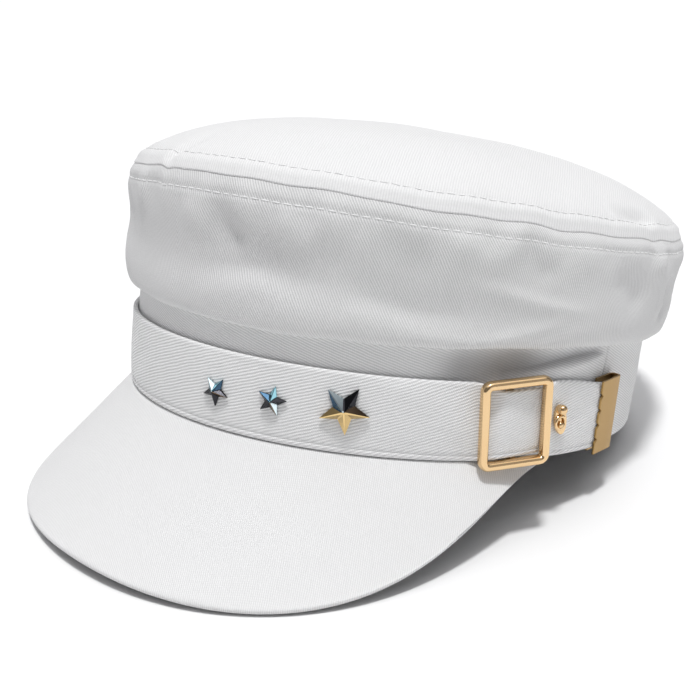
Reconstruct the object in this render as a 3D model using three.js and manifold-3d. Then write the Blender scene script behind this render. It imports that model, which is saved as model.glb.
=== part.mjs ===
import * as THREE from 'three';
import Module from 'manifold-3d';
import { mergeVertices } from 'three/addons/utils/BufferGeometryUtils.js';

// Baker boy cap in white cotton twill, in millimetres, +Z up. The front is towards -Y and the
// wearer's left towards +X. The cap is drawn level and then tipped back once, so that it rests
// by itself on the edge of its peak and the back of its rim.
// Angles round the cap are degrees from the middle of the front, positive towards the left.

const wall = { crown: 1.5, band: 2.4, strap: 1.8, peak: 2.4 }; // thickness of each cloth piece
const gap = 0.3; // room between neighbours
const tilt = 11.25; // how far the cap leans back on the table
const press = 0.8; // how much of the back rim the table flattens
const ringSteps = 80; // columns round the crown and the band

// The band leans outwards as it rises, a little more at the front.
const band = { rx: 86.4, ry: 102, lean: 0.03, frontLean: 0.03 };

// Closed edges of the crown: half widths, centre, and a height that varies round the head.
const fold = {
  rx: 91.7, ry: 107.3, x: 0, y: -0.3,
  height: 36, front: 1.4, side: -1.1, saddle: -2.3,
};
const seam = {
  rx: 90.4, ry: 112.3, x: 0.9, y: 1.3,
  height: 71.7, front: 6.1, side: 3.6, saddle: 2,
};

// The crown's side, from the fold up to the seam: how far it swells past a straight wall.
const sideRows = [
  { up: 0, swell: 0 },
  { up: 0.08, swell: 1.2 },
  { up: 0.2, swell: 2 },
  { up: 0.36, swell: 2.2 },
  { up: 0.54, swell: 2.2 },
  { up: 0.74, swell: 2.5 },
  { up: 0.9, swell: 1.7 },
  { up: 1, swell: 0 },
];

// Soft folds of the crown's side: where, how wide in degrees, how tall, and how deep.
const sideFolds = [
  { angle: -42, up: 0.5, wide: 24, tall: 0.32, deep: 0.9 },
  { angle: 22, up: 0.46, wide: 9, tall: 0.16, deep: 2.6 },
  { angle: 50, up: 0.26, wide: 13, tall: 0.12, deep: 2.4 },
  { angle: 70, up: 0.95, wide: 4, tall: 0.16, deep: -0.9 },
  { angle: 84, up: 0.55, wide: 11, tall: 0.2, deep: 1.5 },
  { angle: 130, up: 0.42, wide: 14, tall: 0.18, deep: 1.5 },
  { angle: 176, up: 0.5, wide: 16, tall: 0.2, deep: 1.8 },
  { angle: -118, up: 0.4, wide: 15, tall: 0.18, deep: 2 },
];

// The crown's top: its rise over the seam, and the shape of its shoulder.
const dome = { rise: 26, shoulder: 2.22, round: 0.63 };
const domeRows = [1, 0.975, 0.93, 0.85, 0.72, 0.54, 0.3]; // share of the way out to the seam
const tipDent = { angle: 103, out: 0.93, wide: 9, tall: 0.045, deep: 1.8 };

const strap = { width: 26, start: -105, busy: 57, end: 96.8, crown: 0.35 }; // busy: where it bends more
// Places where the strap stands off the band: over the buckle's bar and inside the end clip, and
// how far its lower and top edges are drawn in there.
const strapLifts = [
  { angle: 69.1, lift: 2.2, reach: 9, low: 2.9, top: 1.3 },
  { angle: 94.5, lift: 1.2, reach: 14, low: 0.8, top: 0.8 },
];

// The peak: depth from the band at the middle, how it changes towards its ends, and its slope.
const peak = {
  end: 79, span: 85, depth: 55.4, flank: 25, corner: 3.09, taper: 2.66,
  slope: 49.5, endSlope: 9.5,
  thinEnd: 0.45, crowding: 0.35, rimShare: 1.012, rootDeep: 1.4,
};
const peakRows = [0.04, 0.25, 0.5, 0.75, 0.93, 1]; // share of the depth

const buckle = {
  angle: 68.9, z: 14, out: 4.4, turn: 8.3, swing: -7, // swing: how far it faces the front
  width: 24.6, height: 29.8, bar: 3, deep: 3.8, corner: 3, bevel: 0.7,
  hiddenBar: { wide: 2.4, deep: 1.4, beyond: 0.8 }, // the strap runs over this one
};
const stud = {
  angle: 80.3, z: 13.3, turn: 20,
  width: 5.2, height: 10.8, plate: 0.9,
  knob: { radius: 1.75, x: 0.1, y: 4, up: 0.7 },
  ring: { radius: 2.1, wire: 0.6, x: -0.9, y: -0.4, up: 0.35 },
  bead: { radius: 1.1, x: -1.1, y: -1.1, up: 0.5 },
};
const clip = {
  angle: 94.6, z: 12.5, turn: 5.5,
  width: 12.8, height: 26, deep: 4.1, sheet: 0.7, backShorter: 1.5, teeth: 4, notch: 1,
};
const stars = [
  { name: 'star_small_1', angle: 11.6, z: 12.6, radius: 4.9, high: 2.2, turn: 184, finish: 'steel' },
  { name: 'star_small_2', angle: 24, z: 13.6, radius: 4.9, high: 2.2, turn: -10, finish: 'steel' },
  { name: 'star_large', angle: 37.7, z: 14.4, radius: 8.1, high: 3.4, turn: 188, finish: 'star' },
];

const cotton = { color: 0xeae9e7, roughness: 0.92, metalness: 0 };
const finishes = {
  cotton,
  strap: { ...cotton, color: 0xe6e5e4 },
  gold: { color: 0xc79a5b, roughness: 0.22, metalness: 1 },
  steel: { color: 0x39424b, roughness: 0.18, metalness: 1 },
  star: { color: 0x9a7b45, roughness: 0.2, metalness: 1 },
};

const rad = THREE.MathUtils.degToRad;
const wasm = await Module();
wasm.setup();

// Shared geometry helpers

// Turns the faces of a closed surface outwards and returns it as a geometry.
function facingOut(points, faces) {
  const volume = faces.reduce((sum, [a, b, c]) => {
    const normal = new THREE.Vector3().crossVectors(points[b], points[c]);
    return sum + points[a].dot(normal);
  }, 0);
  const turned = volume < 0 ? faces.map(([a, b, c]) => [a, c, b]) : faces;
  const geometry = new THREE.BufferGeometry().setFromPoints(points);
  geometry.setIndex(turned.flat());
  return geometry;
}

// Skins rows of points into one closed solid. A row runs round the cap, or along an arc whose
// ends are then capped. The last row joins the first, unless a pole closes each.
function skin(rows, { loop = true, poles = [] } = {}) {
  const count = rows[0].length;
  const last = rows.length - 1;
  const at = (row, column) => (row % rows.length) * count + (column % count);
  const columns = loop ? count : count - 1;
  const faces = [];
  for (let row = 0; row < (poles.length ? last : last + 1); row++) {
    for (let column = 0; column < columns; column++) {
      faces.push([at(row, column), at(row, column + 1), at(row + 1, column + 1)]);
      faces.push([at(row, column), at(row + 1, column + 1), at(row + 1, column)]);
    }
  }
  const poleStart = rows.length * count;
  for (let column = 0; poles.length && column < columns; column++) {
    faces.push([poleStart, at(0, column + 1), at(0, column)]);
    faces.push([poleStart + 1, at(last, column), at(last, column + 1)]);
  }
  for (let row = 1; !loop && row < last; row++) {
    faces.push([at(0, 0), at(row, 0), at(row + 1, 0)]);
    faces.push([at(0, count - 1), at(row + 1, count - 1), at(row, count - 1)]);
  }
  return facingOut(rows.flat().concat(poles), faces);
}

// The inner face of a cloth wall: each point of the outer rows moved in by its thickness.
// The last outer row keeps level, so that two walls meet square at a seam.
function lining(rows, thickness) {
  return rows.map((row, r) => row.map((point, c) => {
    const above = rows[Math.min(r + 1, rows.length - 1)][c];
    const below = rows[Math.max(r - 1, 0)][c];
    const next = row[(c + 1) % row.length];
    const previous = row[(c + row.length - 1) % row.length];
    const along = new THREE.Vector3().subVectors(next, previous);
    const normal = along.cross(new THREE.Vector3().subVectors(above, below));
    if (r === rows.length - 1) normal.z = 0;
    return point.clone().addScaledVector(normal.normalize(), -thickness);
  }));
}

function toManifold(geometry) {
  const bare = geometry.clone().deleteAttribute('normal').deleteAttribute('uv');
  const merged = mergeVertices(bare, 1e-4);
  const index = merged.index.array;
  return new wasm.Manifold(new wasm.Mesh({
    numProp: 3,
    vertProperties: new Float32Array(merged.attributes.position.array),
    triVerts: new Uint32Array(index),
  }));
}

function toGeometry(manifold) {
  const mesh = manifold.getMesh();
  const geometry = new THREE.BufferGeometry();
  geometry.setAttribute('position', new THREE.BufferAttribute(mesh.vertProperties, 3));
  geometry.setIndex(new THREE.BufferAttribute(mesh.triVerts, 1));
  return geometry;
}

function union(geometries) {
  return toGeometry(geometries.map(toManifold).reduce((sum, solid) => sum.add(solid)));
}

function ringAngles(steps = ringSteps) {
  return Array.from({ length: steps }, (_, step) => (step * 360) / steps);
}

function arcAngles(start, end, steps) {
  return Array.from({ length: steps + 1 }, (_, step) => start + ((end - start) * step) / steps);
}

function bump(distance, width) {
  return Math.exp(-((distance / width) ** 2));
}

function turnBetween(angle, other) {
  return THREE.MathUtils.euclideanModulo(angle - other + 180, 360) - 180;
}

// Places on the cap

// A point at an angle and height, so far outside the band's outer face.
function onBand(angle, z, out = 0) {
  const a = rad(angle);
  const grow = out + (band.lean + band.frontLean * Math.cos(a)) * z;
  return new THREE.Vector3((band.rx + grow) * Math.sin(a), -(band.ry + grow) * Math.cos(a), z);
}

// Level direction straight out of the band.
function outFrom(angle) {
  const a = rad(angle);
  return new THREE.Vector3(Math.sin(a) / band.rx, -Math.cos(a) / band.ry, 0).normalize();
}

function onEdge(edge, angle, share = 1) {
  const a = rad(angle);
  const x = edge.x + share * edge.rx * Math.sin(a);
  const y = edge.y - share * edge.ry * Math.cos(a);
  const sway = edge.front * Math.cos(a) + edge.side * Math.sin(a) + edge.saddle * Math.cos(2 * a);
  return new THREE.Vector3(x, y, edge.height + sway);
}

// The table's height under a point of the level cap, once the cap is tipped back.
const lift = band.ry * Math.sin(rad(tilt)) - press;
function keepOffTable(point) {
  const table = (point.y * Math.sin(rad(tilt)) - lift) / Math.cos(rad(tilt));
  point.z = Math.max(point.z, table);
  return point;
}

// Cloth pieces

function crownSide() {
  const swellRows = sideRows.map(({ up, swell }) => ringAngles().map((angle) => {
    const point = onEdge(fold, angle).lerp(onEdge(seam, angle), up);
    const depth = sideFolds.reduce((sum, crease) => {
      const beside = bump(turnBetween(angle, crease.angle), crease.wide);
      return sum + crease.deep * beside * bump(up - crease.up, crease.tall);
    }, 0);
    const foldless = up === 0 || up === 1;
    point.addScaledVector(outFrom(angle), foldless ? swell : swell - depth);
    if (up === 1) point.z -= gap / 2;
    return point;
  }));
  const underRows = [1 - wall.band, 0.6].map((out) => ringAngles().map((angle) => {
    return onBand(angle, onEdge(fold, angle).z + 4 * gap, out);
  }));
  const outer = [...underRows, ...swellRows];
  return skin([...outer, ...lining(outer, wall.crown).reverse()]);
}

function domePoint(angle, out) {
  const point = onEdge(seam, angle, out);
  const level = seam.height + (point.z - seam.height) * out; // the seam's sway dies out inwards
  const height = dome.rise * (1 - out ** dome.shoulder) ** dome.round;
  const beside = bump(turnBetween(angle, tipDent.angle), tipDent.wide);
  const dent = tipDent.deep * beside * bump(out - tipDent.out, tipDent.tall);
  point.z = level + height - dent + gap / 2;
  return point;
}

function crownTip() {
  const rows = [...domeRows].reverse();
  const outer = rows.map((out) => ringAngles().map((angle) => domePoint(angle, out)));
  // Rows run from the middle outwards, so the lining's normals are turned for this piece.
  const inner = lining(outer.map((row) => [...row].reverse()), wall.crown).map((row) => row.reverse());
  const top = new THREE.Vector3(seam.x, seam.y, seam.height + dome.rise + gap / 2);
  const under = top.clone().setZ(top.z - wall.crown);
  return skin([...outer, ...inner.reverse()], { poles: [top, under] });
}

function headBand() {
  const top = (angle) => onEdge(fold, angle).z + 3 * gap;
  const section = [
    { out: 0, up: 0 },
    { out: 0, up: 0.5 },
    { out: 0, up: 1 },
    { out: -wall.band, up: 1 },
    { out: -wall.band, up: 0 },
  ];
  return skin(section.map(({ out, up }) => ringAngles().map((angle) => {
    return keepOffTable(onBand(angle, top(angle) * up, out));
  })));
}

// How far the strap's inner face stands off the band, and how much its edges draw in.
function strapAt(angle) {
  const share = ({ angle: middle, reach }) => {
    const near = Math.min(Math.abs(angle - middle) / reach, 1);
    return Math.cos((near * Math.PI) / 2) ** 2;
  };
  const total = (key) => strapLifts.reduce((sum, place) => sum + place[key] * share(place), 0);
  return { lifted: gap + total('lift'), low: total('low'), top: total('top') };
}

function strapPiece() {
  const plain = arcAngles(strap.start, strap.busy, 40).slice(0, -1);
  const angles = [...plain, ...arcAngles(strap.busy, strap.end, 24)];
  const section = [
    { face: 1, up: 0 },
    { face: 1, up: 0.3 },
    { face: 1, up: 0.7 },
    { face: 1, up: 1 },
    { face: 0, up: 1 },
    { face: 0, up: 0 },
  ];
  return skin(section.map(({ face, up }) => angles.map((angle) => {
    const { lifted, low, top } = strapAt(angle);
    const crowned = face * strap.crown * Math.sin(Math.PI * up);
    const z = low + (strap.width - low - top) * up;
    return onBand(angle, z, lifted + face * wall.strap + crowned);
  })), { loop: false });
}

function peakDepth(share) {
  return (peak.depth + peak.flank * share ** 2) * (1 - Math.abs(share) ** peak.corner) ** peak.taper;
}

function peakPiece() {
  // Angles crowd towards the ends, where the outline turns quickest.
  const angles = arcAngles(-1, 1, 46).map((step) => {
    const crowded = Math.sin((step * Math.PI) / 2);
    return peak.end * THREE.MathUtils.lerp(step, crowded, peak.crowding);
  });
  const place = (angle, out, down) => {
    const share = angle / peak.span;
    const slope = rad(peak.slope + peak.endSlope * share ** 2);
    const fullness = Math.sqrt(1 - (angle / peak.end) ** 2);
    const thick = wall.peak * THREE.MathUtils.lerp(peak.thinEnd, 1, fullness);
    const along = peakDepth(share) * out;
    const point = onBand(angle, -gap, wall.band * 0.6);
    point.addScaledVector(outFrom(angle), along * Math.cos(slope) - down * thick * Math.sin(slope));
    point.z -= along * Math.sin(slope) + down * thick * Math.cos(slope);
    return keepOffTable(point);
  };
  const row = (out, down) => angles.map((angle) => place(angle, out, down));
  const root = (z) => angles.map((angle) => onBand(angle, z, -wall.band + gap));
  const rows = [
    root(-gap),
    row(0, 0),
    ...peakRows.map((out) => row(out, 0)),
    row(peak.rimShare, 0.5),
    ...[...peakRows].reverse().map((out) => row(out, 1)),
    root(-gap - peak.rootDeep),
  ];
  return skin(rows, { loop: false });
}

// Metal pieces, drawn with X along the strap, Y up it and Z out of it

function roundedRectangle(width, height, corner) {
  const shape = new THREE.Shape();
  const x = width / 2 - corner;
  const y = height / 2 - corner;
  shape.absarc(x, y, corner, 0, Math.PI / 2);
  shape.absarc(-x, y, corner, Math.PI / 2, Math.PI);
  shape.absarc(-x, -y, corner, Math.PI, 1.5 * Math.PI);
  shape.absarc(x, -y, corner, 1.5 * Math.PI, 2 * Math.PI);
  return shape;
}

function boxFrom(low, high) {
  const size = new THREE.Vector3().subVectors(high, low);
  const middle = new THREE.Vector3().addVectors(low, high).multiplyScalar(0.5);
  return new THREE.BoxGeometry(size.x, size.y, size.z).translate(middle.x, middle.y, middle.z);
}

function bucklePiece() {
  const { bevel, bar, hiddenBar } = buckle;
  const frame = roundedRectangle(buckle.width - 2 * bevel, buckle.height - 2 * bevel, buckle.corner - bevel);
  const inside = 2 * bar - 2 * bevel;
  frame.holes.push(roundedRectangle(buckle.width - inside, buckle.height - inside, buckle.corner - 1.1));
  const front = new THREE.ExtrudeGeometry(frame, {
    depth: buckle.deep - 2 * bevel,
    bevelThickness: bevel,
    bevelSize: bevel,
    bevelSegments: 2,
    curveSegments: 3,
  }).translate(0, 0, bevel);
  // The hidden bar lies between band and strap, and rises outside the strap's edges.
  const back = 2 * gap - buckle.out;
  const half = hiddenBar.wide / 2;
  const start = buckle.height / 2 - bar;
  const reach = start + hiddenBar.beyond;
  const post = (low, high) => boxFrom(new THREE.Vector3(-half, low, back), new THREE.Vector3(half, high, 1));
  const across = new THREE.Vector3(half, reach, back + hiddenBar.deep);
  const hidden = boxFrom(new THREE.Vector3(-half, -reach, back), across);
  return union([front, hidden, post(start, reach), post(-reach, -start)]);
}

function studPiece() {
  const { knob, ring, bead } = stud;
  const outline = new THREE.Shape().absellipse(0, 0, stud.width / 2, stud.height / 2, 0, 2 * Math.PI);
  const plain = { depth: stud.plate, bevelEnabled: false, curveSegments: 8 };
  const plate = new THREE.ExtrudeGeometry(outline, plain);
  const place = (geometry, { x, y, up }) => geometry.translate(x, y, stud.plate + up);
  return union([
    plate,
    place(new THREE.SphereGeometry(knob.radius, 12, 8), knob),
    place(new THREE.TorusGeometry(ring.radius, ring.wire, 6, 14), ring),
    place(new THREE.SphereGeometry(bead.radius, 10, 7), bead),
  ]);
}

// A sheet folded round the strap's end, with its front leaf's edge cut into teeth.
function clipPiece() {
  const { deep, sheet, backShorter } = clip;
  const half = clip.width / 2;
  const radius = deep / 2;
  const plan = new THREE.Shape();
  plan.moveTo(-half + backShorter, 0);
  plan.lineTo(half - radius, 0);
  plan.absarc(half - radius, radius, radius, -Math.PI / 2, Math.PI / 2);
  plan.lineTo(-half, deep);
  plan.lineTo(-half, deep - sheet);
  plan.lineTo(half - radius, deep - sheet);
  plan.absarc(half - radius, radius, radius - sheet, Math.PI / 2, -Math.PI / 2, true);
  plan.lineTo(-half + backShorter, sheet);
  const plain = { depth: clip.height, bevelEnabled: false, curveSegments: 5 };
  const folded = new THREE.ExtrudeGeometry(plan, plain);
  folded.rotateX(Math.PI / 2).translate(0, clip.height / 2, 0);
  const pitch = clip.height / (clip.teeth + 1);
  const notches = Array.from({ length: clip.teeth }, (_, tooth) => {
    const notch = new THREE.CylinderGeometry(clip.notch, clip.notch, 4 * sheet, 4);
    notch.rotateX(Math.PI / 2).translate(-half, pitch * (tooth + 1) - clip.height / 2, deep);
    return toManifold(notch);
  });
  return toGeometry(notches.reduce((solid, notch) => solid.subtract(notch), toManifold(folded)));
}

// A five-armed stud: each arm a ridge that falls from the raised middle to its tip.
function starPiece({ radius, high }) {
  const rim = 0.5;
  const waist = radius * 0.44;
  const ringAt = (z) => Array.from({ length: 10 }, (_, corner) => {
    const reach = corner % 2 ? waist : radius;
    const a = Math.PI / 2 + (corner * Math.PI) / 5;
    return new THREE.Vector3(reach * Math.cos(a), reach * Math.sin(a), z);
  });
  const poles = [new THREE.Vector3(0, 0, high), new THREE.Vector3(0, 0, 0)];
  return skin([ringAt(rim), ringAt(0)], { poles });
}

// Sets a metal piece on the strap, its back at a distance outside the band, then turns it on the
// strap and swings it about its own upright.
function setOnBand(mesh, { angle, z, turn = 0, swing = 0 }, out) {
  const step = 0.5;
  const along = onBand(angle + step, z, out).sub(onBand(angle - step, z, out)).normalize();
  const up = onBand(angle, z + step, out).sub(onBand(angle, z - step, out)).normalize();
  const outward = new THREE.Vector3().crossVectors(along, up).normalize();
  const basis = new THREE.Matrix4().makeBasis(along, up.crossVectors(outward, along), outward);
  mesh.quaternion.setFromRotationMatrix(basis);
  mesh.rotateZ(rad(turn)).rotateY(rad(swing));
  mesh.position.copy(onBand(angle, z, out));
  return mesh;
}

function named(name, geometry, finish) {
  const mesh = new THREE.Mesh(geometry, new THREE.MeshStandardMaterial(finishes[finish]));
  mesh.name = name;
  return mesh;
}

// Assembly

const strapFace = gap + wall.strap + strap.crown;
const cap = new THREE.Group();
cap.add(named('crown_tip', crownTip(), 'cotton'));
cap.add(named('crown_side', crownSide(), 'cotton'));
cap.add(named('head_band', headBand(), 'cotton'));
cap.add(named('strap', strapPiece(), 'strap'));
cap.add(named('peak', peakPiece(), 'cotton'));
cap.add(setOnBand(named('buckle', bucklePiece(), 'gold'), buckle, buckle.out));
cap.add(setOnBand(named('strap_stud', studPiece(), 'gold'), stud, strapFace + gap + 0.5));
cap.add(setOnBand(named('end_clip', clipPiece(), 'gold'), clip, gap));
for (const star of stars) {
  cap.add(setOnBand(named(star.name, starPiece(star), star.finish), star, strapFace + gap));
}
cap.rotation.x = -rad(tilt);
cap.position.z = lift;

// The origin is the middle of the whole cap's footprint, on the table.
const assembly = new THREE.Group();
assembly.add(cap);
const extent = new THREE.Box3().setFromObject(assembly, true);
const middle = extent.getCenter(new THREE.Vector3());
assembly.position.set(-middle.x, -middle.y, -extent.min.z);

export default assembly;
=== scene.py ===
import math

import bpy
import numpy as np
from mathutils import Matrix, Vector, noise


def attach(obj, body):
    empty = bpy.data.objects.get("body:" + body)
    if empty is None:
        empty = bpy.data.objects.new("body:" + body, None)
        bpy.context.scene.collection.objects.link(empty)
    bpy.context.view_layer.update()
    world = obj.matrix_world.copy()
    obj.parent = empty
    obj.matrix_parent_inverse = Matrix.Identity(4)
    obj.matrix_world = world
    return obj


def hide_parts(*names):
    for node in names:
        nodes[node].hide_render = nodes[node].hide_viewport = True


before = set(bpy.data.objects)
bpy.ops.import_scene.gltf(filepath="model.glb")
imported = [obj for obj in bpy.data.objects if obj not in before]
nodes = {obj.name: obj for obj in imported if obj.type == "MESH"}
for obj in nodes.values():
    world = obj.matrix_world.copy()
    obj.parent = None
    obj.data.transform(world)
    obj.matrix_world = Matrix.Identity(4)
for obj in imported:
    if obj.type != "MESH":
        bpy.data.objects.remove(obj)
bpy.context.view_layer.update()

# The cap is drawn level in millimetres, then tipped back and moved to where the frame has it.
# Angles are degrees round the head from the middle of the front, positive to the wearer's left. Sizes in
# the dictionaries are millimetres, and angles degrees, unless a note says otherwise.
lay = {"tilt": 11.25, "across": -0.242, "along": 10.047, "lift": 19.099}
mm = 0.001
print("frame loaded:", len(nodes), "nodes")


band = {"rx": 86.4, "ry": 102.0, "lean": 0.03, "frontLean": 0.03, "wall": 2.4}
# the crown's lower fold and its top seam: half widths, middle, and how their height changes round the head
fold = {
    "rx": 91.7, "ry": 107.3, "x": 0.0, "y": -0.3, "height": 36.0, "front": 1.4, "side": -1.1, "saddle": -2.3,
}
seam = {
    "rx": 90.4, "ry": 112.3, "x": 0.9, "y": 1.3, "height": 71.7, "front": 6.1, "side": 3.6, "saddle": 2.0,
}


def toFrame(points):
    points = np.asarray(points, float)
    c, s = math.cos(math.radians(lay["tilt"])), math.sin(math.radians(lay["tilt"]))
    x, y, z = points[..., 0], points[..., 1], points[..., 2]
    placed = np.stack([x + lay["across"], y * c + z * s + lay["along"], z * c - y * s + lay["lift"]], -1)
    return placed * mm


def onBand(angle, z, out=0.0):
    a = np.radians(angle)
    grow = out + (band["lean"] + band["frontLean"] * np.cos(a)) * z
    x, y = (band["rx"] + grow) * np.sin(a), -(band["ry"] + grow) * np.cos(a)
    return np.stack(np.broadcast_arrays(x, y, z), -1)


def outFrom(angle):
    a = np.radians(angle)
    way = np.stack([np.sin(a) / band["rx"], -np.cos(a) / band["ry"], np.zeros_like(a)], -1)
    return way / np.linalg.norm(way, axis=-1, keepdims=True)


def onEdge(edge, angle, share=1.0):
    a = np.radians(angle)
    z = edge["height"] + edge["front"] * np.cos(a) + edge["side"] * np.sin(a) + edge["saddle"] * np.cos(2 * a)
    x = edge["x"] + share * edge["rx"] * np.sin(a)
    y = edge["y"] - share * edge["ry"] * np.cos(a)
    return np.stack(np.broadcast_arrays(x, y, z), -1)


def smoothLine(knots, samples):
    # a soft curve through the knots, with samples spread evenly over the knots' own numbering
    knots = np.asarray(knots, float)
    ends = np.vstack([2 * knots[0] - knots[1], knots, 2 * knots[-1] - knots[-2]])
    t = np.asarray(samples, float)
    i = np.clip(t.astype(int), 0, len(knots) - 2)
    f = (t - i)[:, None]
    a, b, c, d = ends[i], ends[i + 1], ends[i + 2], ends[i + 3]
    value = 2 * b + (c - a) * f + (2 * a - 5 * b + 4 * c - d) * f ** 2
    return 0.5 * (value + (3 * b - a - 3 * c + d) * f ** 3)


def turnBetween(angle, other):
    return (angle - other + 180) % 360 - 180


def bump(distance, width):
    return np.exp(-(distance / width) ** 2)


def gridNormals(grid, loop):
    # the way out of each point of a grid of rows, for rows that run round the cap
    if loop:
        along = np.roll(grid, -1, 1) - np.roll(grid, 1, 1)
    else:
        along = np.gradient(grid, axis=1)
    across = np.gradient(grid, axis=0)
    normal = np.cross(along, across)
    return normal / np.maximum(np.linalg.norm(normal, axis=-1, keepdims=True), 1e-9)


def wander(grid, size, seed, octaves=2):
    # gentle random unevenness between -1 and 1, fixed by its seed
    shift = Vector((seed * 17.3, seed * 5.1, seed * 9.7))
    flat = grid.reshape(-1, 3) / size
    values = [noise.fractal(Vector(p) + shift, 1.0, 2.0, octaves) for p in flat]
    return np.array(values).reshape(grid.shape[:-1])


def meshFromGrid(name, grid, uv, material, loop=True, wrap=True, poles=(), flat=False, hollow=None):
    # grid: rows x columns of points in the level cap. loop joins the last column to the first, wrap the
    # last row to the first. A flat pattern has one place for each point, any other goes on round the cap.
    # hollow says how deep in a fold the points of the first rows lie, from 0 to 1; the cloth's finish paints
    # shade there by it.
    rows, columns = grid.shape[:2]
    points = list(map(tuple, toFrame(grid).reshape(-1, 3)))
    beyond = uv[:, :1] if flat else 2 * uv[:, -1:] - uv[:, -2:-1]
    pattern = np.concatenate([uv, beyond], 1)
    at = lambda r, c: (r % rows) * columns + c % columns
    faces, corners = [], []
    for r in range(rows if wrap else rows - 1):
        low, high = pattern[r], pattern[(r + 1) % rows]
        for c in range(columns if loop else columns - 1):
            faces.append([at(r, c), at(r, c + 1), at(r + 1, c + 1), at(r + 1, c)])
            corners += [low[c], low[c + 1], high[c + 1], high[c]]
    for row, pole in zip((0, rows - 1), poles):
        points.append(tuple(toFrame(pole)))
        for c in range(columns):
            ring = [(at(row, c), pattern[row, c]), (at(row, c + 1), pattern[row, c + 1])]
            ring.append((len(points) - 1, pole[:2]))
            ring = ring if row else ring[::-1]
            faces.append([point for point, _ in ring])
            corners += [place for _, place in ring]
    if wrap and not loop:
        for column, step in ((0, -1), (columns - 1, 1)):
            for r in range(rows // 2 - 1):
                ring = [at(r, column), at(r + 1, column), at(rows - 2 - r, column), at(rows - 1 - r, column)]
                faces.append(ring[::step])
                corners += [uv[r, column], uv[r + 1, column], uv[r + 1, column], uv[r, column]][::step]
    mesh = bpy.data.meshes.new(name)
    mesh.from_pydata(points, [], faces)
    layer = mesh.uv_layers.new(name="cloth")
    layer.data.foreach_set("uv", np.array(corners, float).ravel())
    mesh.polygons.foreach_set("use_smooth", np.ones(len(faces), bool))
    if hollow is not None:
        depths = np.zeros(len(points))
        depths[:hollow.size] = np.clip(hollow, 0, 1).ravel()
        mesh.attributes.new("hollow", "FLOAT", "POINT").data.foreach_set("value", depths)
    mesh.update()
    obj = bpy.data.objects.new(name, mesh)
    bpy.context.scene.collection.objects.link(obj)
    mesh.materials.append(material)
    turnOutwards(obj)
    return obj


def volumeOf(mesh):
    mesh.calc_loop_triangles()
    corner = np.zeros(len(mesh.loop_triangles) * 3, np.int32)
    mesh.loop_triangles.foreach_get("vertices", corner)
    co = np.zeros(len(mesh.vertices) * 3)
    mesh.vertices.foreach_get("co", co)
    p = co.reshape(-1, 3)[corner.reshape(-1, 3)]
    return float(np.einsum("ij,ij->i", p[:, 0], np.cross(p[:, 1], p[:, 2])).sum())


def turnOutwards(obj):
    if volumeOf(obj.data) < 0:
        obj.data.flip_normals()


def finishPiece(obj, slot, *replaced):
    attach(obj, "root")
    if replaced:
        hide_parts(*replaced)
    return obj


def newFinish(name):
    finish = bpy.data.materials.new(name)
    finish.use_nodes = True
    tree = finish.node_tree
    tree.nodes.clear()
    out = tree.nodes.new("ShaderNodeOutputMaterial")
    shader = tree.nodes.new("ShaderNodeBsdfPrincipled")
    tree.links.new(shader.outputs["BSDF"], out.inputs["Surface"])
    return finish, tree, shader


def mathNode(tree, operation, first, second=None, third=None):
    node = tree.nodes.new("ShaderNodeMath")
    node.operation = operation
    for socket, value in zip(node.inputs, (first, second, third)):
        if value is None:
            continue
        if isinstance(value, (int, float)):
            socket.default_value = value
        else:
            tree.links.new(value, socket)
    return node.outputs[0]


def noiseNode(tree, vector, scale, detail=2.0, roughness=0.5):
    node = tree.nodes.new("ShaderNodeTexNoise")
    node.inputs["Scale"].default_value = scale
    node.inputs["Detail"].default_value = detail
    node.inputs["Roughness"].default_value = roughness
    tree.links.new(vector, node.inputs["Vector"])
    return node.outputs["Fac"]


def mixColours(tree, share, low, high):
    node = tree.nodes.new("ShaderNodeMix")
    node.data_type = "RGBA"
    for socket, value in ((node.inputs[0], share), (node.inputs[6], low), (node.inputs[7], high)):
        if isinstance(value, (int, float)):
            socket.default_value = value
        elif isinstance(value, tuple):
            socket.default_value = (*value, 1.0)
        else:
            tree.links.new(value, socket)
    return node.outputs[2]


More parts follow.
